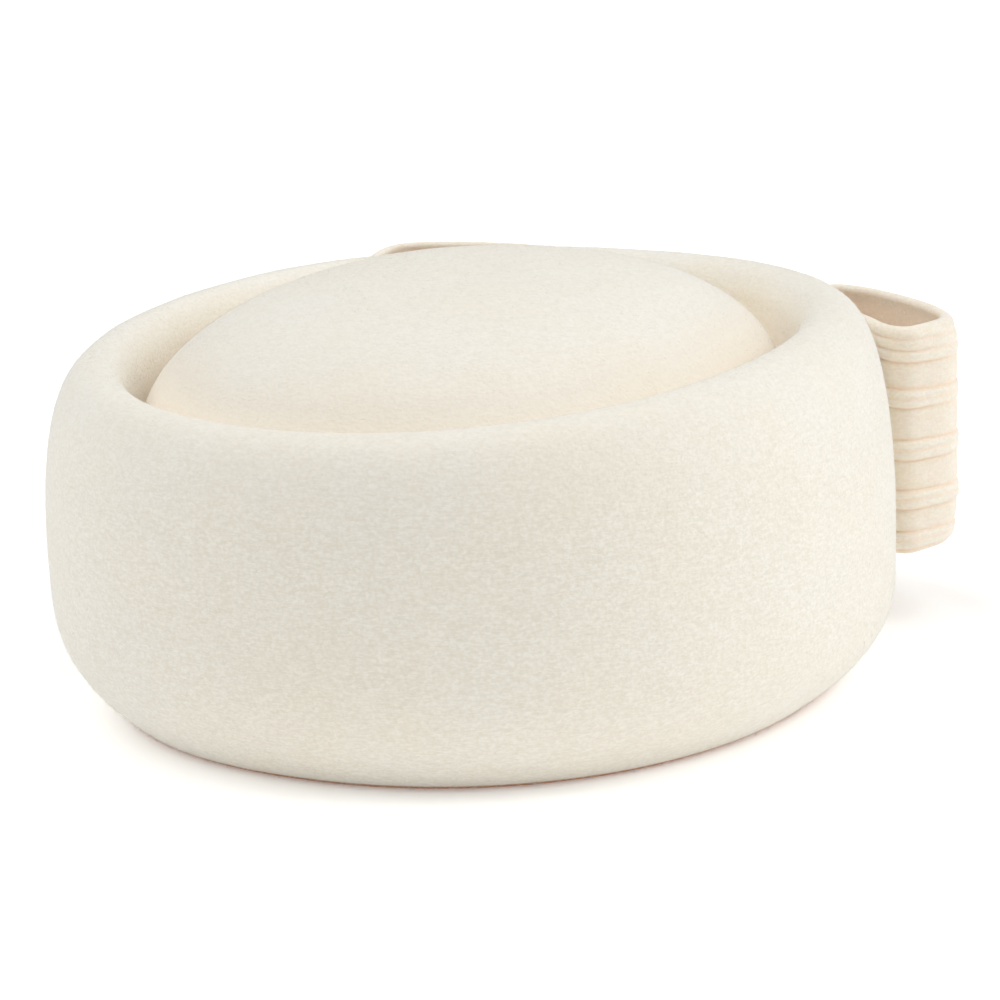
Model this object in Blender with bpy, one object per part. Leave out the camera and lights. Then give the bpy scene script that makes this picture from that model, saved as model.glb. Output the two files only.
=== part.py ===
"""A felt pillbox hat with a tucked felt bow at the back of its wall.

Metres, +Z up. The front of the hat faces -Y, and the rim's cut edge lies at z = 0.
"""

import math

import bmesh
import bpy
import numpy as np

# The felt cap, one blocked piece. Insets are measured inwards from the widest line of the wall.
HALF_WIDTH = 0.1000  # middle to the widest line at the sides
HALF_LENGTH = 0.1072  # middle to the widest line at the front and back
OVAL_POWER = 2.13  # 2 would be a plain ellipse, more is squarer
CAP_FELT = 0.0026
FOOT_POWER = 2.94  # how late the wall turns in towards the rim
ROLL_POWER = 2.67  # how square the wall's shoulder is
GROOVE_DEPTH = 0.0192  # crest of the rolled edge to the bottom of the groove
DOME_RISE = 0.0337  # bottom of the groove to the top of the dome
DOME_POWER = 2.45
DOME_ROUNDING = 0.49

# These differ round the cap, so each is given at the front, the side and the back.
CREST_HEIGHT = (0.0820, 0.0893, 0.0918)
WIDEST_HEIGHT = (0.0394, 0.0312, 0.0231)
FOOT_INSET = (0.0182, 0.0158, 0.0134)
CREST_INSET = (0.0148, 0.0156, 0.0164)
GROOVE_INSET = (0.0224, 0.0249, 0.0297)

# The groove's outer side falls in a round lip and then a hollow. These are the lip's shares of it.
LIP_WIDTH_SHARE = 0.66
LIP_FALL_SHARE = 0.38

# Rows of faces in each stretch of the cap, and faces round it.
FOOT_ROWS, ROLL_ROWS, LIP_ROWS, HOLLOW_ROWS, DOME_ROWS = 5, 7, 4, 3, 6
AROUND = 48

# The bow, whose band stands on its edge.
BAND_HEIGHT = 0.0590
BAND_FELT = 0.0022
TUCK_HEIGHT = 0.0013  # how far a tuck stands out of the band
TUCK_SLOPE = 0.0007  # height over which a tuck's side rises
BOW_MIDDLE_HEIGHT = 0.0528
BOW_FALL = 0.047  # fall to the right of every line along the band, for each unit of length
CLEARANCE = 0.0003
KNOT_WIDTH = 0.028
KNOT_FELT = 0.0020
STRAND_GAP = 0.0012  # between a loop's two strands inside the knot
KNOT_EXIT = 0.0045  # how far past the knot both strands run straight on
KNOT_PINCH = 0.76  # share of its height that the band keeps inside the knot
PINCH_LENGTH = 0.034  # how far from the knot the band is back at its full height

# Length along the wall from the middle of the back to the loop's end, and depth off the wall.
LOOPS = {
    "bow_loop_right": {"side": 1, "reach": 0.0855, "depth": 0.0260},
    "bow_loop_left": {"side": -1, "reach": 0.0785, "depth": 0.0275},
}
# The front strand lies along the wall as far as the last of these shares of the reach.
FRONT_SHARES = (0.36, 0.52, 0.68, 0.84)
# The rest of the loop, round its end and along the back strand: (share of reach, share of depth).
LOOP_SHAPE = (
    (0.935, 0.13),
    (0.980, 0.20),
    (0.995, 0.32),
    (0.975, 0.47),
    (0.950, 0.63),
    (0.920, 0.78),
    (0.880, 0.89),
    (0.820, 0.95),
    (0.720, 0.96),
    (0.620, 0.94),
    (0.530, 0.90),
    (0.440, 0.78),
    (0.360, 0.61),
    (0.290, 0.44),
)
# The tucks' upper and lower edges, as shares of the band's height from its top.
TUCKS = (
    {"top": 0.000, "bottom": 0.135},
    {"top": 0.267, "bottom": 0.344},
    {"top": 0.488, "bottom": 0.567},
    {"top": 0.708, "bottom": 0.784},
    {"top": 0.901, "bottom": 1.000},
)
LOOP_STATIONS = 34
SPLINE_STEPS = 12
OUTLINE_STEPS = 2000

IVORY = (0.86, 0.83, 0.75, 1.0)
CREAM = (0.88, 0.80, 0.67, 1.0)


def clear_scene():
    for thing in list(bpy.data.objects):
        bpy.data.objects.remove(thing)


def felt_material(name, colour):
    material = bpy.data.materials.new(name)
    material.use_nodes = True
    shader = material.node_tree.nodes["Principled BSDF"]
    shader.inputs["Base Color"].default_value = colour
    shader.inputs["Roughness"].default_value = 0.95
    shader.inputs["Metallic"].default_value = 0.0
    return material


def around(values, angle, share=1.0):
    """A (front, side, back) size at an angle from the back, flattening towards the middle of the plan."""
    front, side, back = values
    tilt = (back - front) / 2
    saddle = ((back + front) / 2 - side) / 2
    return side + saddle + tilt * share * np.cos(angle) + saddle * share**2 * np.cos(2 * angle)


def oval(inset, angle):
    """Plan position of a point this far inside the widest line, at an angle from the back."""
    sine, cosine = np.sin(angle), np.cos(angle)
    swell = (abs(sine) ** OVAL_POWER + abs(cosine) ** OVAL_POWER) ** (-1 / OVAL_POWER)
    return (HALF_WIDTH - inset) * swell * sine, (HALF_LENGTH - inset) * swell * cosine


def cap_rows(angle):
    """The cap's outer face as rows of points, from the rim to the ring beside the dome's middle."""
    crest, widest = around(CREST_HEIGHT, angle), around(WIDEST_HEIGHT, angle)
    foot_inset, crest_inset = around(FOOT_INSET, angle), around(CREST_INSET, angle)
    groove_inset = around(GROOVE_INSET, angle)
    lip_width = (groove_inset - crest_inset) * LIP_WIDTH_SHARE
    hollow_width = groove_inset - crest_inset - lip_width
    lip_fall = GROOVE_DEPTH * LIP_FALL_SHARE
    quarter = math.pi / 2
    rows = []

    def add(inset, height, share=1.0):
        x, y = oval(inset, angle)
        rows.append(np.stack([x * share, y * share, height + 0 * x], axis=-1))

    for up in np.linspace(0, 1, FOOT_ROWS, endpoint=False):
        add(foot_inset * (1 - up) ** FOOT_POWER, widest * up)
    for turn in np.linspace(0, quarter, ROLL_ROWS, endpoint=False):
        across, rise = math.cos(turn) ** (2 / ROLL_POWER), math.sin(turn) ** (2 / ROLL_POWER)
        add(crest_inset * (1 - across), widest + (crest - widest) * rise)
    for turn in np.linspace(0, quarter, LIP_ROWS, endpoint=False):
        add(crest_inset + lip_width * math.sin(turn), crest - lip_fall * (1 - math.cos(turn)))
    for turn in np.linspace(0, quarter, HOLLOW_ROWS, endpoint=False):
        fall = lip_fall + (GROOVE_DEPTH - lip_fall) * math.sin(turn)
        add(groove_inset - hollow_width * math.cos(turn), crest - fall)
    for turn in np.linspace(0, quarter, DOME_ROWS, endpoint=False):
        share = math.cos(turn) ** 0.8
        add(groove_inset, dome_height(angle, share), share)
    return np.array(rows)


def dome_height(angle, share):
    """Height of the dome's outer face at a share of the way from its middle to the groove."""
    rise = DOME_RISE * (1 - share**DOME_POWER) ** DOME_ROUNDING
    return around(CREST_HEIGHT, angle, share) - GROOVE_DEPTH + rise


def unit(vectors):
    return vectors / np.linalg.norm(vectors, axis=-1, keepdims=True)


def inner_rows(rows):
    """The same rows moved in by the felt, with the lowest one slid down the wall to the floor."""
    up_the_rows = np.gradient(rows, axis=0)
    round_the_cap = np.roll(rows, -1, axis=1) - np.roll(rows, 1, axis=1)
    outwards = unit(np.cross(up_the_rows, round_the_cap))
    moved = rows - CAP_FELT * outwards
    slope = rows[1] - rows[0]
    moved[0] -= slope * (moved[0, :, 2:] / slope[:, 2:])
    return moved


def mesh_object(name, material, parent, build):
    """An object whose bmesh is filled by build(bm), shaded smooth and facing out."""
    bm = bmesh.new()
    build(bm)
    bmesh.ops.recalc_face_normals(bm, faces=bm.faces)
    mesh = bpy.data.meshes.new(name)
    bm.to_mesh(mesh)
    bm.free()
    mesh.shade_smooth()
    mesh.materials.append(material)
    thing = bpy.data.objects.new(name, mesh)
    bpy.context.scene.collection.objects.link(thing)
    thing.parent = parent
    return thing


def join_rings(bm, rings, closed):
    """Faces between neighbouring rings of vertices, and from the last ring to the first where closed."""
    pairs = list(zip(rings, rings[1:]))
    if closed:
        pairs.append((rings[-1], rings[0]))
    for first, second in pairs:
        for i in range(len(first)):
            j = (i + 1) % len(first)
            bm.faces.new((first[i], first[j], second[j], second[i]))


def make_cap(material, parent):
    angle = np.linspace(0, 2 * math.pi, AROUND, endpoint=False)
    outer = cap_rows(angle)
    inner = inner_rows(outer)
    top = float(dome_height(np.zeros(1), 0.0)[0])

    def build(bm):
        outer_rings = [[bm.verts.new(point) for point in row] for row in outer]
        inner_rings = [[bm.verts.new(point) for point in row] for row in inner]
        join_rings(bm, outer_rings, closed=False)
        join_rings(bm, inner_rings, closed=False)
        join_rings(bm, [outer_rings[0], inner_rings[0]], closed=False)
        for rings, height in ((outer_rings, top), (inner_rings, top - CAP_FELT)):
            middle = bm.verts.new((0, 0, height))
            last = rings[-1]
            for i in range(AROUND):
                bm.faces.new((last[i], last[(i + 1) % AROUND], middle))

    return mesh_object("felt_cap", material, parent, build)


def wall_line():
    """Points of the widest line on one side, from the middle of the back, with length and outward normal."""
    x, y = oval(0.0, np.linspace(0, 0.7 * math.pi, OUTLINE_STEPS))
    points = np.stack([x, y], axis=-1)
    steps = np.linalg.norm(np.diff(points, axis=0), axis=1)
    length = np.concatenate([[0.0], np.cumsum(steps)])
    tangent = unit(np.gradient(points, axis=0))
    normal = np.stack([-tangent[:, 1], tangent[:, 0]], axis=-1)
    return points, length, normal


def strand_depths():
    """Distances of the front and back strands' middle planes behind the wall, inside the knot."""
    front = CLEARANCE + KNOT_FELT + CLEARANCE + TUCK_HEIGHT + BAND_FELT / 2
    return front, front + BAND_FELT + STRAND_GAP


def loop_path(side, reach, depth):
    """Plan path of the middle of the band, from the front strand's end in the knot to the back strand's."""
    points, length, normal = wall_line()

    def beside_wall(along, off):
        place = [np.interp(along, length, points[:, k]) for k in (0, 1)]
        facing = [np.interp(along, length, normal[:, k]) for k in (0, 1)]
        return np.array(place) + off * np.array(facing)

    front, back = strand_depths()
    straight = (CLEARANCE, KNOT_WIDTH / 2, KNOT_WIDTH / 2 + KNOT_EXIT)
    against_wall = 2 * CLEARANCE + TUCK_HEIGHT + BAND_FELT / 2
    path = [np.array([x, HALF_LENGTH + front]) for x in straight]
    path += [beside_wall(share * reach, against_wall) for share in FRONT_SHARES]
    path += [beside_wall(along * reach, off * depth) for along, off in LOOP_SHAPE]
    path += [np.array([x, HALF_LENGTH + back]) for x in reversed(straight)]
    return stations_along(np.array(path)) * (side, 1)


def stations_along(points):
    """Points on a Catmull-Rom curve: both ends, the knot's mouth, then even ones past the straight runs."""
    ends = np.concatenate([[2 * points[0] - points[1]], points, [2 * points[-1] - points[-2]]])
    t = np.linspace(0, 1, SPLINE_STEPS, endpoint=False)[:, None]
    curve = []
    for a, b, c, d in zip(ends, ends[1:], ends[2:], ends[3:]):
        bend = (2 * a - 5 * b + 4 * c - d) * t**2 + (3 * b - a - 3 * c + d) * t**3
        curve.append((2 * b + (c - a) * t + bend) / 2)
    curve = np.concatenate(curve + [points[-1:]])
    length = np.concatenate([[0.0], np.cumsum(np.linalg.norm(np.diff(curve, axis=0), axis=1))])
    whole, mouth = length[-1], KNOT_WIDTH / 2 - CLEARANCE
    free = np.linspace(mouth + KNOT_EXIT, whole - mouth - KNOT_EXIT, LOOP_STATIONS)
    stations = np.concatenate([[0, mouth], free, [whole - mouth, whole]])
    return np.stack([np.interp(stations, length, curve[:, k]) for k in (0, 1)], axis=-1)


def band_section():
    """The band's section as (distance out from its middle plane, height above its middle), closed.

    It runs down the tucked face and up the plain one, with a point at the same height for each.
    """
    outer, inner = BAND_FELT / 2, -BAND_FELT / 2
    tucked = []
    for tuck in TUCKS:
        top, bottom = (BAND_HEIGHT * (0.5 - tuck[edge]) for edge in ("top", "bottom"))
        if tuck["top"] > 0:
            tucked.append((outer, top + TUCK_SLOPE))
        tucked += [(outer + TUCK_HEIGHT, top), (outer + TUCK_HEIGHT, bottom)]
        if tuck["bottom"] < 1:
            tucked.append((outer, bottom - TUCK_SLOPE))
    return np.array(tucked + [(inner, height) for _, height in reversed(tucked)])


def pinch(x):
    """Share of its height that the band keeps at this distance from the middle of the bow."""
    share = np.clip((abs(x) - KNOT_WIDTH / 2) / PINCH_LENGTH, 0, 1)
    return KNOT_PINCH + (1 - KNOT_PINCH) * share**2 * (3 - 2 * share)


def bow_point(x, y, up):
    """A point of the bow at a height above the line through its middle, which falls to the right."""
    return x, y, up - BOW_FALL * x


def make_loop(name, sizes, material, parent):
    path = loop_path(**sizes)
    tangent = unit(np.gradient(path, axis=0))
    outwards = np.stack([tangent[:, 1], -tangent[:, 0]], axis=-1) * sizes["side"]
    section = band_section()

    def build(bm):
        rings = []
        for place, facing in zip(path, outwards):
            height = pinch(place[0])
            ring = [bow_point(*(place + off * facing), up * height) for off, up in section]
            rings.append([bm.verts.new(point) for point in ring])
        join_rings(bm, rings, closed=False)
        for ring in (rings[0], rings[-1]):
            for i in range(len(ring) // 2 - 1):
                bm.faces.new((ring[i], ring[i + 1], ring[-2 - i], ring[-1 - i]))

    return mesh_object(name, material, parent, build)


def make_knot(material, parent):
    """A closed band round both strands of both loops, with its width along the bow."""
    front, back = strand_depths()
    reach_out = BAND_FELT / 2 + TUCK_HEIGHT + CLEARANCE
    half_depth = (back - front) / 2 + reach_out
    half_height = BAND_HEIGHT * KNOT_PINCH / 2 + CLEARANCE
    middle = HALF_LENGTH + (front + back) / 2
    corner_steps = 4

    def rounded(extra):
        """Rounded rectangle in depth and height, round the strands' corners, grown by extra."""
        radius = CLEARANCE + extra
        points = []
        for quarter, (side_y, side_z) in enumerate(((1, 1), (-1, 1), (-1, -1), (1, -1))):
            for step in range(corner_steps + 1):
                turn = math.pi / 2 * (quarter + step / corner_steps)
                y = side_y * (half_depth - CLEARANCE) + radius * math.cos(turn)
                z = side_z * (half_height - CLEARANCE) + radius * math.sin(turn)
                points.append((y + middle, z))
        return points

    def build(bm):
        edges = ((0.0, -1), (KNOT_FELT, -1), (KNOT_FELT, 1), (0.0, 1))
        rings = []
        for extra, side in edges:
            ring = [bow_point(side * KNOT_WIDTH / 2, y, z) for y, z in rounded(extra)]
            rings.append([bm.verts.new(point) for point in ring])
        join_rings(bm, rings, closed=True)

    return mesh_object("bow_knot", material, parent, build)


def world_points(things):
    bpy.context.view_layer.update()
    return np.array([thing.matrix_world @ vertex.co for thing in things for vertex in thing.data.vertices])


def main():
    clear_scene()
    hat = bpy.data.objects.new("hat", None)
    bow = bpy.data.objects.new("bow", None)
    for empty in (hat, bow):
        bpy.context.scene.collection.objects.link(empty)
    bow.parent = hat
    bow.location = (0, 0, BOW_MIDDLE_HEIGHT)

    ivory = felt_material("wool_felt", IVORY)
    cream = felt_material("bow_felt", CREAM)
    things = [make_cap(ivory, hat)]
    things += [make_loop(name, sizes, cream, bow) for name, sizes in LOOPS.items()]
    things.append(make_knot(cream, bow))

    # The origin is the middle of the bottom of the whole hat, bow included.
    points = world_points(things)
    middle = (points.min(axis=0) + points.max(axis=0)) / 2
    hat.location = (-middle[0], -middle[1], 0)
    bpy.context.view_layer.update()


main()
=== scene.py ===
import math

import bpy
import numpy as np
from mathutils import Matrix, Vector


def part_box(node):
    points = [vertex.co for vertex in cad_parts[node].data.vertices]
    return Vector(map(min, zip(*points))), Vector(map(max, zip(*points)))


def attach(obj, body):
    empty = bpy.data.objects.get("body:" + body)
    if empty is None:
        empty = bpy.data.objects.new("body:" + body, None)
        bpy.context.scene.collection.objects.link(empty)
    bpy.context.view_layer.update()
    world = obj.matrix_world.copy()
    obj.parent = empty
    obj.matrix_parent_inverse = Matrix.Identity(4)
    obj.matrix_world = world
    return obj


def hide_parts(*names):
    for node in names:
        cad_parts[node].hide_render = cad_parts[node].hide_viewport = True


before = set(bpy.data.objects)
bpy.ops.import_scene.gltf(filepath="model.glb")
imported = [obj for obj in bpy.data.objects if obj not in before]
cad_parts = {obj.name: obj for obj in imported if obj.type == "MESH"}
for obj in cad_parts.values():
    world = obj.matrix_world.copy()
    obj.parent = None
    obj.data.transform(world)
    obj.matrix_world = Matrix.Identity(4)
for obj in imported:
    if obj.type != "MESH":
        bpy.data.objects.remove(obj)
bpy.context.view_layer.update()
capLow, capHigh = (np.array(corner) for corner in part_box("felt_cap"))
capMiddle = (capLow + capHigh) / 2 * (1, 1, 0)  # on the floor; the shapes are worked out round this point
mm = 0.001
print("frame loaded")


# shared tools

def unit(vectors):
    # each vector over its length
    return vectors / np.linalg.norm(vectors, axis=-1, keepdims=True)


def smoothNoise(points, size, seed):
    # value noise from -1 to 1: the eight corners of each point's lattice cell hold random numbers, and they
    # are mixed by how far into the cell the point lies, eased by 3t^2 - 2t^3
    cells = 64  # after which it repeats
    corners = np.random.default_rng(seed).uniform(-1, 1, (cells, cells, cells))
    place = np.asarray(points) / size
    cell = np.floor(place).astype(int)
    part = place - cell
    part = part * part * (3 - 2 * part)
    total = 0
    for step in np.ndindex(2, 2, 2):
        weight = np.prod(np.where(step, part, 1 - part), axis=-1)
        x, y, z = np.moveaxis((cell + step) % cells, -1, 0)
        total = total + weight * corners[x, y, z]
    return total


def gridQuads(rows, columns, wrapRows=False, wrapColumns=False):
    # the quads between neighbouring rows and columns of a grid of points, which are numbered row by row
    row = np.arange(rows if wrapRows else rows - 1)[:, None]
    column = np.arange(columns if wrapColumns else columns - 1)[None, :]
    nextRow, nextColumn = (row + 1) % rows, (column + 1) % columns
    corners = (row * columns + column, row * columns + nextColumn,
               nextRow * columns + nextColumn, nextRow * columns + column)
    return np.stack(np.broadcast_arrays(*corners), axis=-1).reshape(-1, 4)


def gridNormals(points, wrapRows=False, wrapColumns=False):
    # the cross product of the differences along the rows and along the columns, made a unit vector
    def differences(axis, wrap):
        if wrap:
            return np.roll(points, -1, axis=axis) - np.roll(points, 1, axis=axis)
        return np.gradient(points, axis=axis)
    return unit(np.cross(differences(0, wrapRows), differences(1, wrapColumns)))


def makePiece(name, points, quads, triangles, material, paintedShading=None):
    # one mesh from arrays. Its faces are turned so that its signed volume, the sum of the triple products of
    # each triangle's corners, is positive, which makes them point outwards. The last argument, from 0 to 1
    # for each point, tells the material how much painted shading to put there: painted warm light in the
    # cap's groove and painted warm shade in the bow's creases
    points = np.asarray(points, dtype=float).reshape(-1, 3)
    triangles = np.asarray(triangles, dtype=int).reshape(-1, 3)
    halves = np.concatenate([quads[:, [0, 1, 2]], quads[:, [0, 2, 3]], triangles])
    a, b, c = (points[halves[:, k]] - points.mean(axis=0) for k in range(3))
    if np.einsum("ij,ij->", a, np.cross(b, c)) < 0:
        quads, triangles = quads[:, ::-1], triangles[:, ::-1]
    sizes = np.concatenate([np.full(len(quads), 4), np.full(len(triangles), 3)])
    mesh = bpy.data.meshes.new(name)
    mesh.vertices.add(len(points))
    mesh.vertices.foreach_set("co", (points + capMiddle).ravel())
    mesh.loops.add(int(sizes.sum()))
    mesh.loops.foreach_set("vertex_index", np.concatenate([quads.ravel(), triangles.ravel()]))
    mesh.polygons.add(len(sizes))
    mesh.polygons.foreach_set("loop_start", np.concatenate([[0], np.cumsum(sizes)[:-1]]))
    mesh.update(calc_edges=True)
    if paintedShading is not None:
        mesh.attributes.new("paintedShading", "FLOAT", "POINT").data.foreach_set("value", np.ravel(paintedShading))
    mesh.shade_smooth()
    mesh.materials.append(material)
    piece = bpy.data.objects.new(name, mesh)
    bpy.context.scene.collection.objects.link(piece)
    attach(piece, "root")
    print(f"{name}: {len(halves)} triangles")
    return piece


# felt

def fromHex(code):
    # an sRGB hex colour as linear numbers with full alpha
    shares = np.array([int(code[i:i + 2], 16) for i in (1, 3, 5)]) / 255
    linear = np.where(shares <= 0.04045, shares / 12.92, ((shares + 0.055) / 1.055) ** 2.4)
    return (*linear, 1.0)


def addNode(material, kind, links=None, **settings):
    # one node with its settings; links and numbers go to its inputs by name or place
    tree = material.node_tree
    node = tree.nodes.new(kind)
    for key, value in settings.items():
        setattr(node, key, value)
    for key, value in (links or {}).items():
        if isinstance(value, bpy.types.NodeSocket):
            tree.links.new(value, node.inputs[key])
        else:
            node.inputs[key].default_value = value
    return node


feltLooks = {  # the top's grain: heights where its darker grain starts to fade and where it is faintest, and the share left; painted light, standing in for grain washed out by the bright light on top
    "capFelt": {  # wool felt, steamed and pressed on a block, then brushed: matt, cloudy and finely fibrous
        "colour": "#f3efe5", "shade": "#e3dbca", "warm": "#f3ebd9", "fleck": "#b3a48c",
        # painted light: a lighter, warmer tone painted into the groove, standing in for light bounced there
        # painted shade: a warm brown along the foot, standing in for the contact shade where the cap meets
        # the floor
        "paintedShading": "#fff2df", "paintedShadingShare": 0.8, "paintedFootShade": "#cf8c54", "washedOutTop": (0.060, 0.084, 0.50),
        "roughness": 0.95, "sheen": 0.40, "relief": 0.24, "soak": 0.0,
    },
    "bowFelt": {  # softer, thinner wool felt, folded and stitched: creamier, and light glows through it
        "colour": "#f2ece0", "shade": "#e8ddca", "warm": "#f2e7d4", "fleck": "#c4ac8c",
        # painted shade: a warm tone painted into the creases and over the loops' inner faces, standing in for
        # shade and light glowing through the folds
        "paintedShading": "#f6d0a8", "paintedShadingShare": 0.42, "paintedFootShade": "#cf8c54", "washedOutTop": (0.0, 0.1, 1.0),
        "roughness": 0.95, "sheen": 0.25, "relief": 0.15, "soak": 0.35,
    },
    "napFibre": {  # single wool fibres that stand out of the felt
        "colour": "#f6f3ec", "shade": "#ece6da", "warm": "#f6f0e2", "fleck": "#d0c4ae",
        "paintedShading": "#f6f3ec", "paintedShadingShare": 0.0, "paintedFootShade": "#fbf9f8", "washedOutTop": (0.0, 0.1, 1.0),
        "roughness": 0.9, "sheen": 0.2, "relief": 0.0, "soak": 0.0,
    },
}
feltGrain = {  # the noise that each pattern comes from, and how deep it is as relief
    "clouds": {"size": 30 * mm, "detail": 2, "distortion": 0.0},  # thicker and thinner wool
    # knots of fibres; the real ones are about half that size, too fine for the picture
    "clumps": {"size": 0.9 * mm, "detail": 5, "distortion": 0.4, "depth": 0.9 * mm},
    # bundles of fibres, this long round the hat and a quarter as wide, drawn coarse too
    "fibres": {"size": 2 * mm, "detail": 4, "distortion": 0.8, "depth": 0.4 * mm},
}
bundleShape = (1, 1, 4)  # how much closer together the fibres and flecks are along each axis
fleckSpacing = 6 * mm
feltLayers = (  # (pattern, its value where the tone starts, value where it is strongest, share there, tone)
    ("clouds", 0.35, 0.70, 0.50, "warm"),
    ("clumps", 0.60, 0.36, 0.52, "shade"),
    ("fibres", 0.60, 0.34, 0.62, "shade"),
    ("flecks", 0.055, 0.020, 0.35, "fleck"),
    # painted contact shade: below 1.5 mm the tone turns to a warm brown, strongest under 0.6 mm, where the
    # felt meets the floor; on the nap fibres this tone is paler
    ("height", 1.5 * mm, 0.6 * mm, 0.85, "paintedFootShade"),
    ("paintedShading", 0.0, 1.0, 1.0, "paintedShading"),  # painted light and shade in the groove and creases; each felt has its own share for this one
)


def feltMaterial(name):
    # the patterns come from the place on the piece, and each layer mixes its tone over those before it
    look = feltLooks[name]
    material = bpy.data.materials.new(name)
    material.use_nodes = True
    shader = material.node_tree.nodes["Principled BSDF"]
    place = addNode(material, "ShaderNodeTexCoord").outputs["Object"]
    along = addNode(material, "ShaderNodeMapping", {"Vector": place, "Scale": bundleShape}).outputs["Vector"]
    height = addNode(material, "ShaderNodeSeparateXYZ", {"Vector": place}).outputs["Z"]
    flecks = addNode(material, "ShaderNodeTexVoronoi", {"Vector": along, "Scale": 1 / fleckSpacing})
    # painted light and shade, read from each point: warm light in the cap's groove, warm shade in the bow's
    # creases
    paintedShading = addNode(material, "ShaderNodeAttribute", attribute_name="paintedShading")
    patterns = {"height": height, "flecks": flecks.outputs["Distance"], "paintedShading": paintedShading.outputs["Fac"]}
    for pattern, vector in (("clouds", place), ("clumps", place), ("fibres", along)):
        grain = feltGrain[pattern]
        links = {"Vector": vector, "Scale": 1 / grain["size"],
                 "Detail": grain["detail"], "Distortion": grain["distortion"]}
        patterns[pattern] = addNode(material, "ShaderNodeTexNoise", links).outputs["Fac"]

    # painted light: the darker grain fades on the top, between these heights
    low, high, calm = look["washedOutTop"]
    links = {"Value": height, "From Min": low, "From Max": high, "To Min": 1.0, "To Max": calm}
    topGrainLeft = addNode(material, "ShaderNodeMapRange", links).outputs["Result"]
    colour = fromHex(look["colour"])
    for pattern, starts, strongest, share, tone in feltLayers:
        share = look.get(pattern + "Share", share)
        links = {"Value": patterns[pattern], "From Min": starts, "From Max": strongest, "To Max": share}
        amount = addNode(material, "ShaderNodeMapRange", links).outputs["Result"]
        if tone == "shade":  # painted light: the top shows less of the darker grain than the wall, standing in for grain washed out by the bright light on top
            links = {0: amount, 1: topGrainLeft}
            amount = addNode(material, "ShaderNodeMath", links, operation="MULTIPLY").outputs[0]
        links = {"Factor": amount, 6: colour, 7: fromHex(look[tone])}
        colour = addNode(material, "ShaderNodeMix", links, data_type="RGBA").outputs[2]
    material.node_tree.links.new(colour, shader.inputs["Base Color"])

    settings = {
        "Roughness": look["roughness"],
        "IOR": 1.54,  # wool
        "Specular IOR Level": 0.15,
        "Sheen Weight": look["sheen"],
        "Sheen Roughness": 0.55,
        "Sheen Tint": (0.92, 0.96, 1.0, 1.0),  # the fibre ends look a little cooler
        "Subsurface Weight": look["soak"],
        "Subsurface Radius": (1.0, 0.60, 0.35),  # red light goes furthest through wool
        "Subsurface Scale": 1.6 * mm,
    }
    for socket, value in settings.items():
        shader.inputs[socket].default_value = value
    if look["relief"]:
        links = {"Strength": look["relief"]}
        for pattern in ("clumps", "fibres"):
            links.update({"Distance": feltGrain[pattern]["depth"], "Height": patterns[pattern]})
            links["Normal"] = addNode(material, "ShaderNodeBump", links).outputs["Normal"]
        material.node_tree.links.new(links["Normal"], shader.inputs["Normal"])
    return material


capFelt, bowFelt, napFibre = (feltMaterial(name) for name in ("capFelt", "bowFelt", "napFibre"))
print("felt materials made")


# cap

cap = {  # sizes given as (front, side, back) differ round the cap
    "felt": 2.6 * mm,
    "ovalPower": 2.13,  # of the plan's superellipse
    "footPower": 2.94,
    "rollPower": 2.67,
    "grooveDepth": 19.2 * mm,
    "domeRise": 33.7 * mm,
    "domePower": 2.45,
    "domeRounding": 0.49,
    "crestHeight": (82.0 * mm, 89.3 * mm, 91.8 * mm),
    "widestHeight": (39.4 * mm, 31.2 * mm, 23.1 * mm),
    "footInset": (18.2 * mm, 15.8 * mm, 13.4 * mm),
    "crestInset": (14.8 * mm, 15.6 * mm, 16.4 * mm),
    "grooveInset": (22.4 * mm, 24.9 * mm, 29.7 * mm),
    "lipWidthShare": 0.66,
    "lipFallShare": 0.38,
    "around": 380,  # points round the cap
    "rows": {"foot": 24, "roll": 46, "lip": 20, "hollow": 12, "dome": 44},
    "innerEvery": 3,  # the inner face keeps every third row
    "softening": 3,  # how many times the creases are rounded
    "rimRound": 0.7 * mm,  # radius of the cut edge's corners
    "rimPoints": 4,  # along each of them
    "groovePaintedLight": (8 * mm, 20 * mm),  # how far the painted warm light in the groove, standing in for light bounced there, spreads up the lip and up the dome
    "unevenness": ((60 * mm, 0.35 * mm), (22 * mm, 0.14 * mm), (7 * mm, 0.045 * mm)),  # (size across, height)
    "evenFoot": 6 * mm,  # height below which the unevenness fades, because the cut edge lies on the floor
}
halfWidth, halfLength = (capHigh - capLow)[:2] / 2


def aroundCap(values, angle, share=1.0):
    # a (front, side, back) size at an angle from the back: side + saddle + tilt * cos(angle) + saddle *
    # cos(2 * angle), where tilt and saddle flatten towards the middle of the plan
    front, side, back = values
    tilt, saddle = (back - front) / 2, ((back + front) / 2 - side) / 2
    return side + saddle + tilt * share * np.cos(angle) + saddle * share**2 * np.cos(2 * angle)


def oval(inset, angle):
    # plan point on a superellipse this far inside the widest line, at an angle from the back: the ellipse's
    # point over (|sine|^ovalPower + |cosine|^ovalPower)^(1 / ovalPower)
    sine, cosine = np.sin(angle), np.cos(angle)
    swell = (abs(sine) ** cap["ovalPower"] + abs(cosine) ** cap["ovalPower"]) ** (-1 / cap["ovalPower"])
    return (halfWidth - inset) * swell * sine, (halfLength - inset) * swell * cosine


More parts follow.
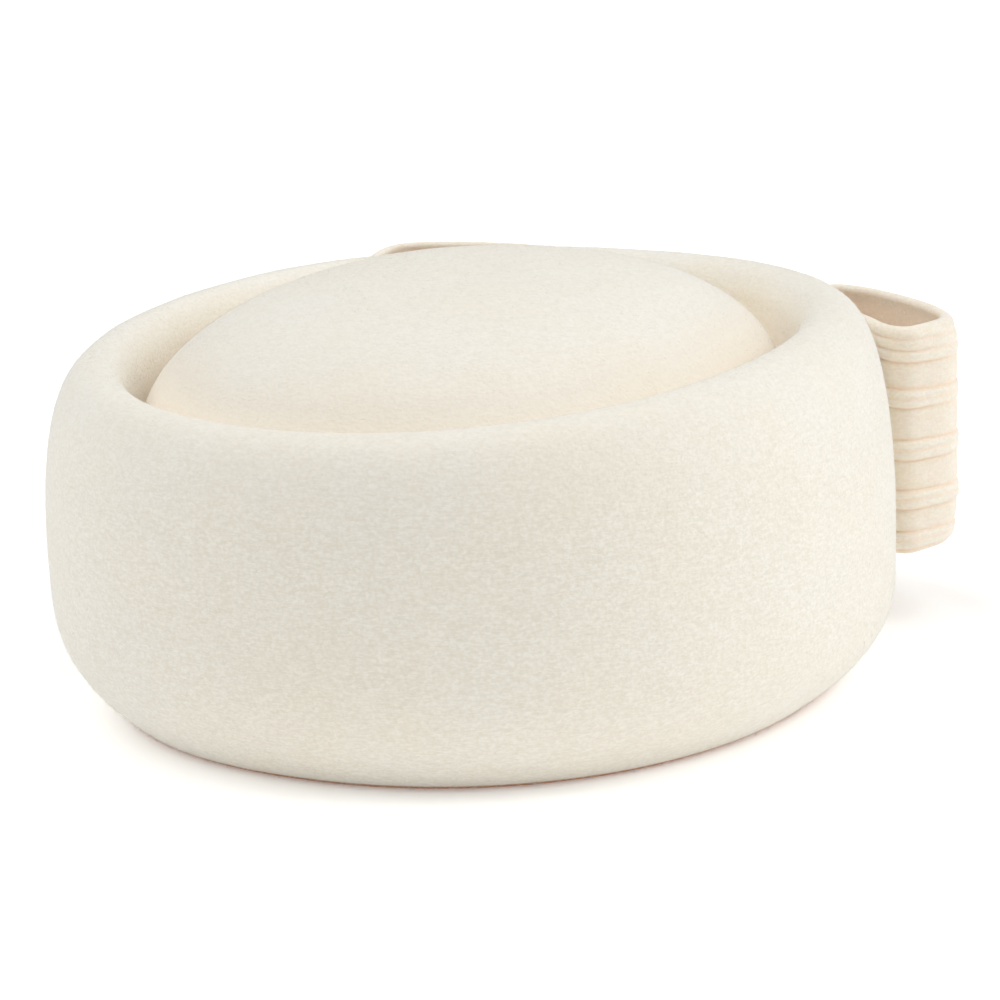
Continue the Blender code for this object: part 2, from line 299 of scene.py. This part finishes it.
def capStretch(name, part, angle):
    # the cap's outer face, in five stretches that part runs through from 0 to 1:
    # foot: inset by footInset times (1 - part)^footPower while it rises to the widest line
    # roll: a quarter of a superellipse from the widest line up to the crest
    # lip: a quarter of an ellipse down from the crest
    # hollow: another, turned over, to the bottom of the groove
    # dome: rises from the groove by domeRise times (1 - share^domePower)^domeRounding, where share is how far
    # out from the middle of the plan it is
    crest, widest = aroundCap(cap["crestHeight"], angle), aroundCap(cap["widestHeight"], angle)
    footInset, crestInset = aroundCap(cap["footInset"], angle), aroundCap(cap["crestInset"], angle)
    grooveInset = aroundCap(cap["grooveInset"], angle)
    lipWidth = (grooveInset - crestInset) * cap["lipWidthShare"]
    lipFall = cap["grooveDepth"] * cap["lipFallShare"]
    turn = part * math.pi / 2
    sine, cosine = np.sin(turn), np.cos(turn)
    share = np.ones_like(part)
    if name == "foot":
        inset, height = footInset * (1 - part) ** cap["footPower"], widest * part
    elif name == "roll":
        inset = crestInset * (1 - cosine ** (2 / cap["rollPower"]))
        height = widest + (crest - widest) * sine ** (2 / cap["rollPower"])
    elif name == "lip":
        inset, height = crestInset + lipWidth * sine, crest - lipFall * (1 - cosine)
    elif name == "hollow":
        inset = grooveInset - (grooveInset - crestInset - lipWidth) * cosine
        height = crest - lipFall - (cap["grooveDepth"] - lipFall) * sine
    else:
        share = 1 - part
        rise = cap["domeRise"] * (1 - share ** cap["domePower"]) ** cap["domeRounding"]
        inset, height = grooveInset, aroundCap(cap["crestHeight"], angle, share) - cap["grooveDepth"] + rise
    x, y = oval(inset, angle)
    return np.stack(np.broadcast_arrays(x * share, y * share, height), axis=-1)


def evenParts(name, count):
    # values of part that cut a stretch of the side's profile into count pieces of the same length
    measured = 4000  # short steps that the length is added up from
    part = np.linspace(0, 1, measured)[:, None]
    side = np.array([[math.pi / 2]])
    steps = np.linalg.norm(np.diff(capStretch(name, part, side)[:, 0], axis=0), axis=1)
    length = np.concatenate([[0], np.cumsum(steps)])
    return np.interp(np.linspace(0, length[-1], count, endpoint=False), length, part[:, 0])[:, None]


def softened(rows, times):
    # each row moved halfway to the mean of its two neighbours, some times over, which rounds the creases
    for _ in range(times):
        rows = np.concatenate([rows[:1], (rows[:-2] + 2 * rows[1:-1] + rows[2:]) / 4, rows[-1:]])
    return rows


def uneven(points):
    # the sum of a few noises, each of its own size across and height
    return sum(height * smoothNoise(points, size, seed)
               for seed, (size, height) in enumerate(cap["unevenness"]))


def capFaces():
    # the outer face is the five stretches with their creases softened, moved along its normals by the
    # unevenness. The inner face is the outer one moved in by the felt, its first row slid down its slope to
    # the floor
    angle = np.linspace(0, 2 * math.pi, cap["around"], endpoint=False)[None, :]
    rows = [capStretch(name, evenParts(name, count), angle) for name, count in cap["rows"].items()]
    outer = softened(np.concatenate(rows), cap["softening"])
    facing = gridNormals(outer, wrapColumns=True)
    fade = np.clip(outer[..., 2:] / cap["evenFoot"], 0, 1)
    outer = outer + facing * uneven(outer)[..., None] * fade
    inner = (outer - cap["felt"] * facing)[::cap["innerEvery"]]
    slope = inner[1] - inner[0]
    inner[0] -= slope * (inner[0, :, 2:] / slope[:, 2:])
    return outer, inner, facing


def rimRows(outer, inner):
    # the cut edge: a quarter circle of radius rimRound at each of its corners, with a flat between them
    across = unit((inner[0] - outer[0]) * (1, 1, 0))
    turns = np.linspace(0, math.pi / 2, cap["rimPoints"])[:, None, None]
    radius = cap["rimRound"]
    rise = (1 - np.sin(turns)) * radius * np.array([0, 0, 1.0])
    outerCorner = outer[0] + across * (1 - np.cos(turns)) * radius + rise
    innerCorner = inner[0] - across * (1 - np.cos(turns)) * radius + rise
    return outerCorner, innerCorner


def makeCap():
    # rows run down the outer face, round the cut edge and up the inner face, and a fan of triangles closes
    # each end at a pole. The groove gets painted warm light, standing in for light bounced in it, by
    # exp(-(distance from its bottom along the profile / reach)^2)
    outer, inner, facing = capFaces()
    outerCorner, innerCorner = rimRows(outer, inner)
    rows = np.concatenate([outer[:0:-1], outerCorner, innerCorner[::-1], inner[1:]])
    count, columns = rows.shape[:2]
    points = np.concatenate([rows.reshape(-1, 3), [outer[-1].mean(axis=0), inner[-1].mean(axis=0)]])
    along = np.cumsum(np.linalg.norm(np.diff(outer, axis=0), axis=-1), axis=0)
    groove = along[sum(cap["rows"].values()) - cap["rows"]["dome"]]
    reach = np.where(along < groove, *cap["groovePaintedLight"])
    paintedShading = np.zeros(len(points))
    paintedShading[:along.size] = np.exp(-(((along - groove) / reach) ** 2))[::-1].ravel()
    ring = np.column_stack([np.arange(columns), np.roll(np.arange(columns), -1)])
    outerFan = np.column_stack([ring, np.full(columns, count * columns)])[:, ::-1]
    innerFan = np.column_stack([ring + (count - 1) * columns, np.full(columns, count * columns + 1)])
    piece = makePiece("felt_cap_blocked", points, gridQuads(count, columns, wrapColumns=True),
                      np.concatenate([outerFan, innerFan]), capFelt, paintedShading)
    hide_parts("felt_cap")
    return outer, facing


capSurface, capFacing = makeCap()


# bow

bow = {
    "bandHeight": 59.0 * mm,
    "bandFelt": 2.2 * mm,
    "tuckHeight": 1.3 * mm,  # room that is kept for the tucks beside the wall and in the knot
    "middleHeight": 52.8 * mm,
    "fall": 0.047,  # fall to the right of every line along the band, for each unit of length
    "clearance": 0.3 * mm,
    "knotWidth": 28.0 * mm,
    "knotFelt": 2.0 * mm,
    "strandGap": 1.2 * mm,  # between a loop's two strands inside the knot
    "knotExit": 4.5 * mm,  # how far past the knot both strands run straight on
    "knotPinch": 0.76,  # share of its height that the band keeps inside the knot
    "pinchLength": 34.0 * mm,  # how far from the knot the band is back at its full height
    "frontShares": (0.36, 0.52, 0.68, 0.84),  # where the front strand lies along the wall, as shares of reach
    "shape": (  # then round the loop's end and back, as (share of reach, share of depth)
        (0.935, 0.13), (0.980, 0.20), (0.995, 0.32), (0.975, 0.47), (0.950, 0.63),
        (0.920, 0.78), (0.880, 0.89), (0.820, 0.95), (0.720, 0.96), (0.620, 0.94),
        (0.530, 0.90), (0.440, 0.78), (0.360, 0.61), (0.290, 0.44),
    ),
    "stations": 210,  # points along a loop
}
loops = {
    "bow_loop_right": {"side": 1, "reach": 85.5 * mm, "depth": 26.0 * mm},
    "bow_loop_left": {"side": -1, "reach": 78.5 * mm, "depth": 27.5 * mm},
}
loopRise = {"bow_loop_right": 0.0, "bow_loop_left": 0.014}  # towards the loop's end, for each unit of length
tucks = (  # each raised strip, down from the band's top, and the (place, depth) of the lines sewn in it
    {"top": -3.0 * mm, "bottom": 8.9 * mm, "lines": ((3.05 * mm, 0.42 * mm), (5.95 * mm, 0.70 * mm))},
    {"top": 16.1 * mm, "bottom": 20.7 * mm, "lines": ((18.4 * mm, 0.30 * mm),)},
    {"top": 29.1 * mm, "bottom": 34.1 * mm, "lines": ((31.6 * mm, 0.34 * mm),)},
    {"top": 42.2 * mm, "bottom": 46.9 * mm, "lines": ((44.4 * mm, 0.28 * mm),)},
    {"top": 53.1 * mm, "bottom": 57.6 * mm, "lines": ((55.3 * mm, 0.28 * mm),)},
)
section = {  # of the band
    "coarseStep": 0.9 * mm, "fineStep": 0.30 * mm,  # between its heights, on plain felt and near a tuck
    "nearTuck": (1.2 * mm, 1.0 * mm),  # how far above and below a tuck the fine steps go
    "edgeSteps": 8,  # over each rounded edge
    "stand": 0.95 * mm,  # how far a tuck stands out
    "endStand": 0.45,  # share of that left where the felt is stretched round the loop's end
    "shoulders": (1.7 * mm, 1.2 * mm),  # height over which a tuck's upper and lower sides round up
    "crease": (0.30 * mm, 0.44 * mm),  # depth and half width of the crease beside a tuck
    "creaseShift": 0.4,  # how far outside the tuck the crease's middle is, for each unit of its half width
    "lineHalfWidth": 0.48 * mm,  # of a sewn line
    "paintedShadeAmounts": {"crease": 0.80, "line": 0.50, "plain": 0.18, "inside": 0.70},  # how much painted warm shade each gets: the creases, the sewn lines, the plain felt between tucks and the loop's inner face
    "crown": 0.35 * mm,  # how far the plain felt between two tucks swells out
    "lip": (4.2 * mm, 0.6 * mm),  # height and thickness of the turned edge on the band's inner face
    "edgeRound": 1.7 * mm,
    "wander": (14 * mm, 0.16 * mm),  # length and height of the tucks' unevenness along the band
    "endLength": 11 * mm,  # half width of the stretch that counts as the loop's end
    "endSwell": 1.6 * mm,  # how far the band swells out there
    "endLean": (  # and how far its upper and lower edges lean back in
        {"from": 0.0, "over": 8.5 * mm, "by": 2.2 * mm},
        {"from": 59 * mm, "over": 14.0 * mm, "by": 2.4 * mm},
    ),
    "takenUp": 18 * mm,  # height of felt that the five tucks and the turned edge take up
}


def wallLine():
    # points of the cap's widest line on one side, from the middle of the back, with length and outward normal
    farEnough, measured = 0.7 * math.pi, 2000  # past the loops' ends, in short steps
    x, y = oval(0.0, np.linspace(0, farEnough, measured))
    points = np.stack([x, y], axis=-1)
    length = np.concatenate([[0.0], np.cumsum(np.linalg.norm(np.diff(points, axis=0), axis=1))])
    tangent = unit(np.gradient(points, axis=0))
    return points, length, np.stack([-tangent[:, 1], tangent[:, 0]], axis=-1)


def strandDepths():
    # how far behind the wall the middles of the front and back strands are inside the knot
    front = 2 * bow["clearance"] + bow["knotFelt"] + bow["tuckHeight"] + bow["bandFelt"] / 2
    return front, front + bow["bandFelt"] + bow["strandGap"]


def splinePath(points, count):
    # a Catmull-Rom curve through the points, cut into stations at even lengths
    ends = np.concatenate([[2 * points[0] - points[1]], points, [2 * points[-1] - points[-2]]])
    between = 24  # short steps from each point to the next
    t = np.linspace(0, 1, between, endpoint=False)[:, None]
    curve = []
    for a, b, c, d in zip(ends, ends[1:], ends[2:], ends[3:]):
        curve.append((2 * b + (c - a) * t + (2 * a - 5 * b + 4 * c - d) * t**2
                      + (3 * b - a - 3 * c + d) * t**3) / 2)
    curve = np.concatenate(curve + [points[-1:]])
    length = np.concatenate([[0.0], np.cumsum(np.linalg.norm(np.diff(curve, axis=0), axis=1))])
    stations = np.linspace(0, length[-1], count)
    return np.stack([np.interp(stations, length, curve[:, k]) for k in (0, 1)], axis=-1), stations


def loopPath(side, reach, depth):
    # plan path of the middle of the band: from the front strand's end in the knot along the wall, round the
    # loop's end and back
    points, length, normal = wallLine()

    def besideWall(along, off):
        return np.array([np.interp(along, length, points[:, k] + off * normal[:, k]) for k in (0, 1)])

    front, back = strandDepths()
    straight = (bow["clearance"], bow["knotWidth"] / 2, bow["knotWidth"] / 2 + bow["knotExit"])
    againstWall = 2 * bow["clearance"] + bow["tuckHeight"] + bow["bandFelt"] / 2
    path = [np.array([x, halfLength + front]) for x in straight]
    path += [besideWall(share * reach, againstWall) for share in bow["frontShares"]]
    path += [besideWall(along * reach, off * depth) for along, off in bow["shape"]]
    path += [np.array([x, halfLength + back]) for x in reversed(straight)]
    path, stations = splinePath(np.array(path), bow["stations"])
    return path * (side, 1), stations


def sectionHeights():
    # heights down the band: close together on and near the tucks, further apart on the plain felt, and spaced
    # as the cosine of an even turn over its rounded edges
    first, last = section["edgeRound"], bow["bandHeight"] - section["edgeRound"]
    above, below = section["nearTuck"]
    heights = [first]
    while heights[-1] < last:
        h = heights[-1]
        near = any(tuck["top"] - above < h < tuck["bottom"] + below for tuck in tucks)
        heights.append(h + section["fineStep" if near else "coarseStep"])
    middle = first + (np.array(heights) - first) * (last - first) / (heights[-1] - first)
    edge = first * (1 - np.cos(np.linspace(0, math.pi / 2, section["edgeSteps"], endpoint=False)))
    return np.concatenate([edge, middle, bow["bandHeight"] - edge[::-1]])


def hump(x, middle, halfWidth):
    # a bell shape, exp(-(distance from its middle / half width)^2)
    return np.exp(-(((x - middle) / halfWidth) ** 2))


def outerOffsets(height, stations, flatter, seed):
    # how far the band's outer face lies from its middle plane, for each height and each station along it, and
    # how much painted warm shade it gets. A tuck rises by stand with a quarter of an ellipse at each side.
    # Its sewn lines and the creases beside it are humps taken off, and get the most painted shade. Between
    # two tucks the plain felt swells by a half sine and gets a little painted shade. flatter is the share
    # that is left of how far each height lies from the station's mean
    size, rise = section["wander"]
    paintedShadeAmounts = section["paintedShadeAmounts"]

    def drift(kind):
        places = np.stack([stations, 0 * stations, 0 * stations + kind * size], axis=-1)
        return rise * smoothNoise(places, size, seed)

    out, paintedShading = np.zeros((2, len(height), len(stations)))
    plain = np.ones_like(out)
    h = height[:, None]
    upper, lower = section["shoulders"]
    deep, half = section["crease"]
    for number, tuck in enumerate(tucks):
        top, bottom = tuck["top"] + drift(number), tuck["bottom"] + drift(number + 0.5)
        up = np.clip((h - top) / upper, 0, 1)
        down = np.clip((bottom - h) / lower, 0, 1)
        stand = section["stand"] + drift(number + 0.25)
        raised = np.sqrt((1 - (1 - up) ** 2) * (1 - (1 - down) ** 2))
        out += stand * raised
        plain -= raised
        for line, depth in tuck["lines"]:
            sewn = hump(h, line + drift(number + 0.75), section["lineHalfWidth"])
            out -= depth * sewn
            paintedShading += paintedShadeAmounts["line"] * sewn
        shift = half * section["creaseShift"]
        beside = hump(h, top - shift, half) + hump(h, bottom + shift, half)
        out -= deep * beside
        paintedShading += paintedShadeAmounts["crease"] * beside
    for above, below in zip(tucks, tucks[1:]):
        part = np.clip((h - above["bottom"]) / (below["top"] - above["bottom"]), 0, 1)
        out += section["crown"] * np.sin(math.pi * part)
    level = out.mean(axis=0)
    paintedShading = np.clip(paintedShading + paintedShadeAmounts["plain"] * plain, 0, 1)
    return level + (out - level) * flatter + bow["bandFelt"] / 2, paintedShading


def innerOffsets(height):
    # the plain inner face, with the turned edge's thickness added at the band's top and easing off downwards
    lipHeight, thick = section["lip"]
    lip = np.clip(height / lipHeight, 0, 1)
    return -bow["bandFelt"] / 2 - thick * (1 - lip**2 * (3 - 2 * lip))


def pinch(x):
    # share of its height that the band keeps, easing from knotPinch in the knot to all of it
    share = np.clip((abs(x) - bow["knotWidth"] / 2) / bow["pinchLength"], 0, 1)
    return bow["knotPinch"] + (1 - bow["knotPinch"]) * share**2 * (3 - 2 * share)


def bowPoints(x, y, up):
    # points at a height above the bow's middle line, which falls to the right
    return np.stack(np.broadcast_arrays(x, y, bow["middleHeight"] + up - bow["fall"] * x), axis=-1)


def makeLoop(name, sizes, seed):
    # the band's section, carried along the loop's path: each station's section stands upright, and its outer
    # and inner faces lie their offsets away from the path
    path, stations = loopPath(**sizes)
    outwards = unit(np.gradient(path, axis=0))
    outwards = np.stack([outwards[:, 1], -outwards[:, 0]], axis=-1) * sizes["side"]
    height = sectionHeights()
    farthest = stations[np.argmax(abs(path[:, 0]))]
    ending = hump(stations, farthest, section["endLength"])
    outer, paintedShading = outerOffsets(height, stations, 1 - (1 - section["endStand"]) * ending, seed)
    inner = innerOffsets(height)[:, None] + 0 * outer
    # painted warm shade over the loop's inner face, none at the band's top edge and full below the turned
    # edge
    inside = section["paintedShadeAmounts"]["inside"] * np.clip(height / section["lip"][0], 0, 1)[:, None] + 0 * paintedShading
    # both faces meet in a half round at the band's two edges
    fromEdge = np.minimum(height, bow["bandHeight"] - height)[:, None]
    close = np.sqrt(1 - (1 - np.clip(fromEdge / section["edgeRound"], 0, 1)) ** 2)
    middle = (outer + inner) / 2
    outer, inner = middle + (outer - middle) * close, middle + (inner - middle) * close
    # the band swells out round the loop's end, and its edges lean back in
    outer, inner = outer + section["endSwell"] * ending, inner + section["endSwell"] * ending
    for edge in section["endLean"]:
        nearness = np.clip(1 - abs(height - edge["from"]) / edge["over"], 0, 1)[:, None]
        lean = edge["by"] * nearness ** 2 * ending
        outer, inner = outer - lean, inner - lean
    up = (bow["bandHeight"] / 2 - height)[:, None] * pinch(path[:, 0]) + loopRise[name] * abs(path[:, 0])
    faces = [bowPoints(path[:, 0] + off * outwards[:, 0], path[:, 1] + off * outwards[:, 1], up)
             for off in (outer, inner)]
    grid = np.concatenate([faces[0], faces[1][-2:0:-1]])  # rows run down the outer face and up the inner one
    rows, columns = grid.shape[:2]
    count = len(height)
    # each end is closed by a ladder of faces between the two sides, with a triangle at its top and bottom
    rung = np.arange(1, count - 2)
    ladder = np.stack([rung, rung + 1, rows - 1 - rung, rows - rung], axis=-1) * columns
    tips = np.array([(0, 1, rows - 1), (count - 2, count - 1, count)]) * columns
    last = columns - 1
    quads = np.concatenate([gridQuads(rows, columns, wrapRows=True), ladder, ladder[:, ::-1] + last])
    triangles = np.concatenate([tips, tips[:, ::-1] + last])
    paintedShading = np.concatenate([paintedShading, inside[-2:0:-1]])
    piece = makePiece(name + "_tucked", grid, quads, triangles, bowFelt, paintedShading)
    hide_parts(name)
    return grid


loopSurfaces = [makeLoop(name, sizes, 20 + number) for number, (name, sizes) in enumerate(loops.items())]


knot = {
    "slack": 0.15 * mm,  # it is pulled tight over the tucks
    "round": 2.8 * mm,  # corner radius of the turn over the bow's edges, to the felt's middle
    "points": 180,  # round the bow
    "across": 44,  # points over each face
    "spacing": 0.28,  # power that spreads the points round the bow evenly over its long sides
    "swell": 0.5 * mm,  # how far the middle of its back stands out
    "folds": ((-8.5 * mm, 0.35 * mm), (-2.0 * mm, 0.5 * mm), (5.0 * mm, 0.4 * mm)),  # (place across, depth)
    "foldHalfWidth": 1.3 * mm,
    "edgeRound": 0.9 * mm,
}


def makeKnot():
    # a closed band: its section across, a long bar with round ends, is carried round a rounded rectangle in
    # depth and height. Shallow folds run round it, fading where it passes between the bow and the wall
    front, back = strandDepths()
    reachOut = bow["bandFelt"] / 2 + section["stand"] + knot["slack"]
    halfDepth = (back - front) / 2 + reachOut + bow["knotFelt"] / 2
    halfHeight = bow["bandHeight"] * bow["knotPinch"] / 2 + bow["knotFelt"] / 2
    turn = np.linspace(0, 2 * math.pi, knot["points"], endpoint=False)
    circle = unit(np.stack([np.cos(turn), np.sin(turn)], axis=-1))
    square = np.sign(circle) * abs(circle) ** knot["spacing"]
    corner = np.stack([halfDepth - knot["round"], halfHeight - knot["round"]])
    line = np.clip(square * (corner + knot["round"]), -corner, corner) + circle * knot["round"]
    forward = np.roll(line, -1, axis=0) - np.roll(line, 1, axis=0)
    facing = unit(np.stack([forward[:, 1], -forward[:, 0]], axis=-1))
    side = np.linspace(-1, 1, knot["across"])
    x = np.sin(side * math.pi / 2) * bow["knotWidth"] / 2
    half = bow["knotFelt"] / 2
    fromEdge = bow["knotWidth"] / 2 - abs(x)
    thick = half * np.sqrt(1 - (1 - np.clip(fromEdge / knot["edgeRound"], 0, 1)) ** 2)
    backward = np.clip(facing[:, 0], 0, 1)[None, :]  # 1 on the side away from the wall
    lift = knot["swell"] * np.cos(side * math.pi / 2)[:, None] * backward
    for place, depth in knot["folds"]:
        lift = lift - depth * hump(x, place, knot["foldHalfWidth"])[:, None] * backward
    rings = []
    for sign in (1, -1):
        off = sign * thick[:, None] + lift
        rings.append(bowPoints(x[:, None], halfLength + (front + back) / 2 + line[:, 0] + off * facing[:, 0],
                               line[:, 1] + off * facing[:, 1]))
    grid = np.concatenate([rings[0], rings[1][-2:0:-1]])
    piece = makePiece("bow_knot_band", grid, gridQuads(*grid.shape[:2], wrapRows=True, wrapColumns=True),
                      [], bowFelt)
    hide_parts("bow_knot")


makeKnot()
print("bow made")


# nap

nap = {
    "length": (0.5 * mm, 1.6 * mm),
    "thick": 0.028 * mm,  # half a fibre's width at its middle; real wool is too fine for the picture
    "lift": (5, 50),  # degrees that a fibre leans out of the felt
    "bend": 0.5,  # how far its outer half turns aside
    "tufts": (9 * mm, 0.2),  # size of longer and shorter patches, and how much longer or shorter they are
    "cap": 32000,  # fibres in each of the cap's two pieces
    "loop": 7000,  # fibres on each loop
}
fibre = {  # the same for every fibre
    "shortest": 0.5,  # a fibre may be broken off, down to this share of its length
    "dip": 0.3,  # how far the outer half may droop back to the felt
    "rootDepth": 0.08 * mm,
}
fringe = {  # along the cut edge, where fibres fray out over the painted contact shade at the foot
    "length": (0.9 * mm, 2.4 * mm),
    "thick": 0.055 * mm,
    "lift": (8, 50),
    "bend": 0.6,
    "tufts": (1.6 * mm, 0.7),
    "lowest": 0.7 * mm,  # height of the lowest roots
    "rim": 4000,
}


def scatter(surface, facing, count, draw, wrapRows, wrapColumns):
    # random places on a grid of points: a cell is drawn by its share of the area, then a place in it, mixed
    # from its four corners, and the same mix of their normals
    quads = gridQuads(*surface.shape[:2], wrapRows, wrapColumns)
    places, normals = surface.reshape(-1, 3), facing.reshape(-1, 3)
    a, b, c, d = (places[quads[:, k]] for k in range(4))
    area = np.linalg.norm(np.cross(c - a, d - b), axis=1)
    chosen = np.searchsorted(np.cumsum(area) / area.sum(), draw.random(count))
    chosen = np.minimum(chosen, len(quads) - 1)
    u, v = draw.random((2, count, 1))
    weights = ((1 - u) * (1 - v), u * (1 - v), u * v, (1 - u) * v)
    spots = sum(w * places[quads[chosen, k]] for k, w in enumerate(weights))
    leaning = unit(sum(w * normals[quads[chosen, k]] for k, w in enumerate(weights)))
    return spots, leaning


def makeNap(name, spots, facing, seed, sizes=nap):
    # each fibre is a closed spindle of five points: its root just under the felt, three round its middle, and
    # its tip. Its outer half turns aside and droops a little at random. What would reach into the floor is
    # turned up
    draw = np.random.default_rng(seed)
    count = len(spots)
    sideways = unit(np.cross(facing, draw.normal(size=(count, 3))))
    across = np.cross(facing, sideways)
    lean = np.radians(draw.uniform(*sizes["lift"], (count, 1)))
    tuft, more = sizes["tufts"]
    length = draw.uniform(*sizes["length"], (count, 1)) * draw.uniform(fibre["shortest"], 1, (count, 1))
    length *= 1 + more * smoothNoise(spots, tuft, seed)[:, None]
    first = sideways * np.cos(lean) + facing * np.sin(lean)
    second = unit(first + sizes["bend"] * draw.normal(size=(count, 1)) * across
                  - facing * fibre["dip"] * draw.random((count, 1)))
    root = spots - facing * fibre["rootDepth"]
    middle = root + first * length / 2
    tip = middle + second * length / 2
    turns = np.arange(3) * 2 * math.pi / 3
    ring = np.cos(turns)[:, None, None] * across + np.sin(turns)[:, None, None] * np.cross(first, across)
    points = np.concatenate([root[None], middle + ring * sizes["thick"], tip[None]]).transpose(1, 0, 2)
    points[..., 2] = abs(points[..., 2])
    spindle = np.array([(0, 2, 1), (0, 3, 2), (0, 1, 3), (4, 1, 2), (4, 2, 3), (4, 3, 1)])
    faces = (spindle + 5 * np.arange(count)[:, None, None]).reshape(-1, 3)
    makePiece(name, points, np.zeros((0, 4), int), faces, napFibre)


def makeAllNap():
    # two pieces over the whole cap, one along its cut edge, and one on each loop, whose normals are turned to
    # point away from the loop's middle on its outer face
    draw = np.random.default_rng(5)
    for number in (1, 2):
        spots, facing = scatter(capSurface, capFacing, nap["cap"], draw, False, True)
        makeNap(f"cap_nap_{number}", spots, facing, 30 + number)
    spots, facing = scatter(capSurface[:2], capFacing[:2], fringe["rim"], draw, False, True)
    above = spots[:, 2] > fringe["lowest"]
    makeNap("rim_fringe", spots[above], facing[above], 38, fringe)
    for name, surface, seed in zip(("right", "left"), loopSurfaces, (45, 44)):
        facing = gridNormals(surface, wrapRows=True)
        middle = surface.mean(axis=(0, 1))
        half = len(surface) // 2
        toward = np.einsum("ijk,ijk->", facing[:half], surface[:half] - middle)
        facing = facing * np.sign(toward)
        spots, leaning = scatter(surface, facing, nap["loop"], draw, True, False)
        makeNap(f"bow_nap_{name}", spots, leaning, seed)


makeAllNap()
print("nap made")


# studio

studio = {
    "floor": "#fcfcfc", "floorHalf": 6.0,
    "glow": 0.21,  # light that comes up through the floor
    "spread": 60,  # degrees across each softbox, which is far away
    "softboxes": (  # degrees from the camera towards its right, degrees up, strength
        (90, 25, 1.36), (-90, 25, 0.08), (-135, 25, 0.58), (0, 55, 0.66), (90, 55, 0.94), (-90, 55, 1.40),
    ),
    "view": {  # degrees, metres, and millimetres of lens; aim is the height that the camera looks at
        "azimuth": 29.48, "elevation": 13.86, "roll": -2.0, "distance": 0.850, "aim": 44.04 * mm,
        "lens": 124.6, "shift": (0.0244, 0.0023),
    },
}


def direction(azimuth, elevation):
    # unit vector this many degrees round from the front of the hat and up from the floor
    a, e = math.radians(azimuth), math.radians(elevation)
    return np.array([math.sin(a) * math.cos(e), -math.cos(a) * math.cos(e), math.sin(e)])


def turned(right, up, back):
    # rotation whose columns are an object's own x, y and z
    return Matrix(np.stack([right, up, back], axis=-1).tolist()).to_4x4()


def makeStudio():
    # a wide floor, no light from the world, and softboxes that are far away, placed round the view
    half = studio["floorHalf"]
    corners = [(-half, -half, 0), (half, -half, 0), (half, half, 0), (-half, half, 0)]
    mesh = bpy.data.meshes.new("floor")
    mesh.from_pydata(corners, [], [(0, 1, 2, 3)])
    acrylic = bpy.data.materials.new("lightTable")  # matt white acrylic, lit faintly from below
    acrylic.use_nodes = True
    shader = acrylic.node_tree.nodes["Principled BSDF"]
    shader.inputs["Base Color"].default_value = fromHex(studio["floor"])
    shader.inputs["Roughness"].default_value = 1.0
    shader.inputs["Specular IOR Level"].default_value = 0.0
    shader.inputs["Emission Color"].default_value = (1, 1, 1, 1)
    shader.inputs["Emission Strength"].default_value = studio["glow"]
    mesh.materials.append(acrylic)
    floor = bpy.data.objects.new("floor", mesh)
    bpy.context.scene.collection.objects.link(floor)

    world = bpy.data.worlds.new("studio")
    world.use_nodes = True
    world.node_tree.nodes["Background"].inputs["Color"].default_value = (1, 1, 1, 1)
    world.node_tree.nodes["Background"].inputs["Strength"].default_value = 0.0
    bpy.context.scene.world = world

    for azimuth, elevation, strength in studio["softboxes"]:
        lamp = bpy.data.lights.new("softbox", "SUN")
        lamp.energy, lamp.angle = strength, math.radians(studio["spread"])
        light = bpy.data.objects.new("softbox", lamp)
        back = direction(studio["view"]["azimuth"] + azimuth, elevation)
        right = unit(np.cross((0, 0, 1), back))
        light.matrix_world = turned(right, np.cross(back, right), back)
        bpy.context.scene.collection.objects.link(light)


def makeCamera():
    # it looks at a point above the middle of the cap, from the view's direction and distance
    view = studio["view"]
    back = direction(view["azimuth"], view["elevation"])
    level = unit(np.cross((0, 0, 1), back))
    upright = np.cross(back, level)
    roll = math.radians(view["roll"])
    right = level * math.cos(roll) + upright * math.sin(roll)
    lens = bpy.data.cameras.new("camera")
    lens.lens, (lens.shift_x, lens.shift_y) = view["lens"], view["shift"]
    camera = bpy.data.objects.new("camera", lens)
    camera.matrix_world = turned(right, np.cross(back, right), back)
    camera.location = capMiddle + (0, 0, view["aim"]) + back * view["distance"]
    bpy.context.scene.collection.objects.link(camera)
    bpy.context.scene.camera = camera


makeStudio()
makeCamera()
bpy.context.scene.view_settings.view_transform = "Standard"
print("studio made")
